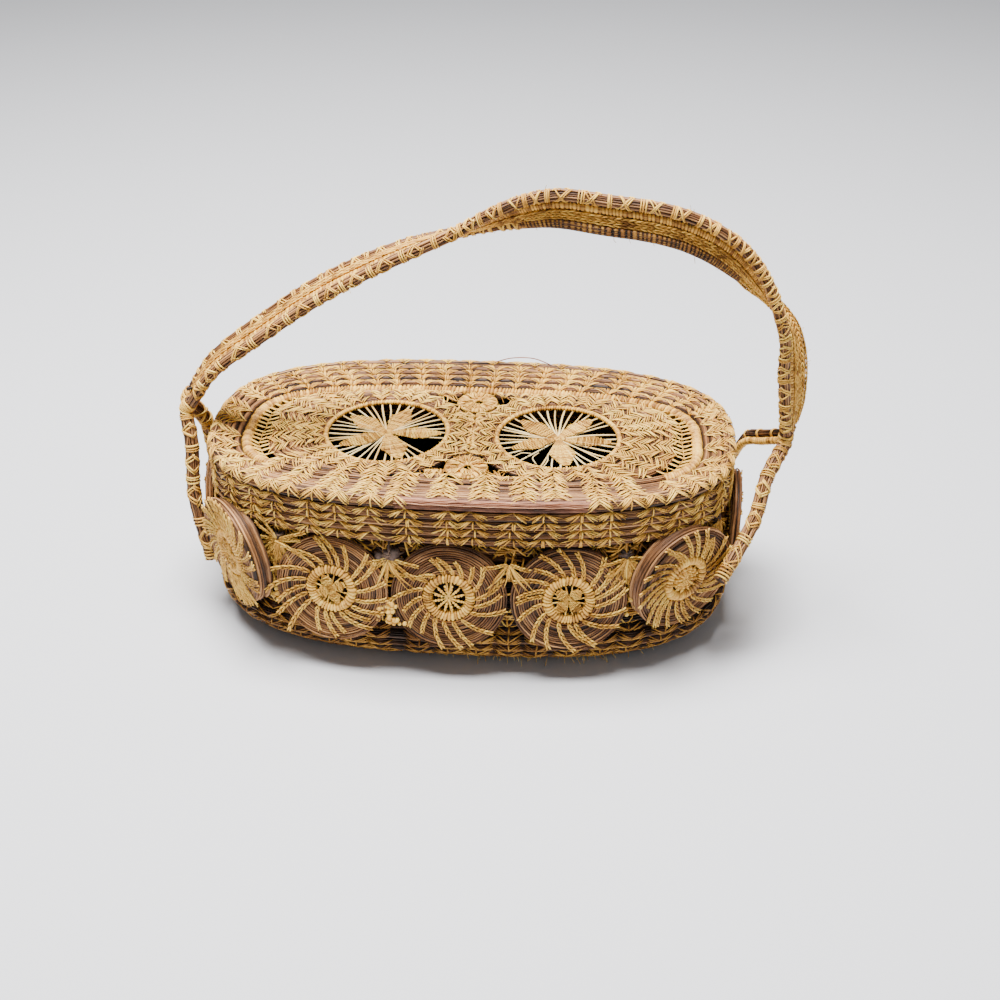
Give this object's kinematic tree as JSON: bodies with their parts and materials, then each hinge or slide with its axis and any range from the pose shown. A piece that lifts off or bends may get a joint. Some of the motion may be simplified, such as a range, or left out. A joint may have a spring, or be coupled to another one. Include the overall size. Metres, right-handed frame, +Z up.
{
  "type": "basket bag",
  "caption": "Oval coiled pine-needle basket bag with a lift-off openwork lid, a wall of wound raffia-stitched medallions and a twisted strap handle on sewn legs.",
  "frame": {"origin": "middle of the flat foot of the base, where the bag stands", "axes": "+X along the bag's length to the right of the picture, +Y to the back, +Z up"},
  "size_m": [0.2743, 0.1366, 0.1973],
  "materials": {
    "needle": "matt bundled pine needles",
    "raffia": "dry raffia strands"
  },
  "bodies": {
    "basket": {"base": "needle", "rim": "needle", "medallion_01": "needle", "medallion_02": "needle", "medallion_03": "needle", "medallion_04": "needle", "medallion_05": "needle", "medallion_06": "needle", "medallion_07": "needle", "medallion_08": "needle", "medallion_09": "needle", "medallion_10": "needle", "medallion_11": "needle", "medallion_12": "needle", "handle_strap": "needle", "leg_front_left": "needle", "leg_rear_left": "needle", "leg_front_right": "needle", "leg_rear_right": "needle"},
    "lid": {"lid_coil": "needle", "lid_hoop": "raffia", "lid_disc_left": "needle", "lid_disc_right": "needle", "lid_star_left": "raffia", "lid_star_right": "raffia", "lid_rosette_front": "raffia", "lid_rosette_back": "raffia"}
  },
  "joints": [
    {"name": "lid_lift", "type": "slide", "parent": "basket", "child": "lid", "axis": [0, 0, 1], "range_m": [0, 0.0165]}
  ]
}
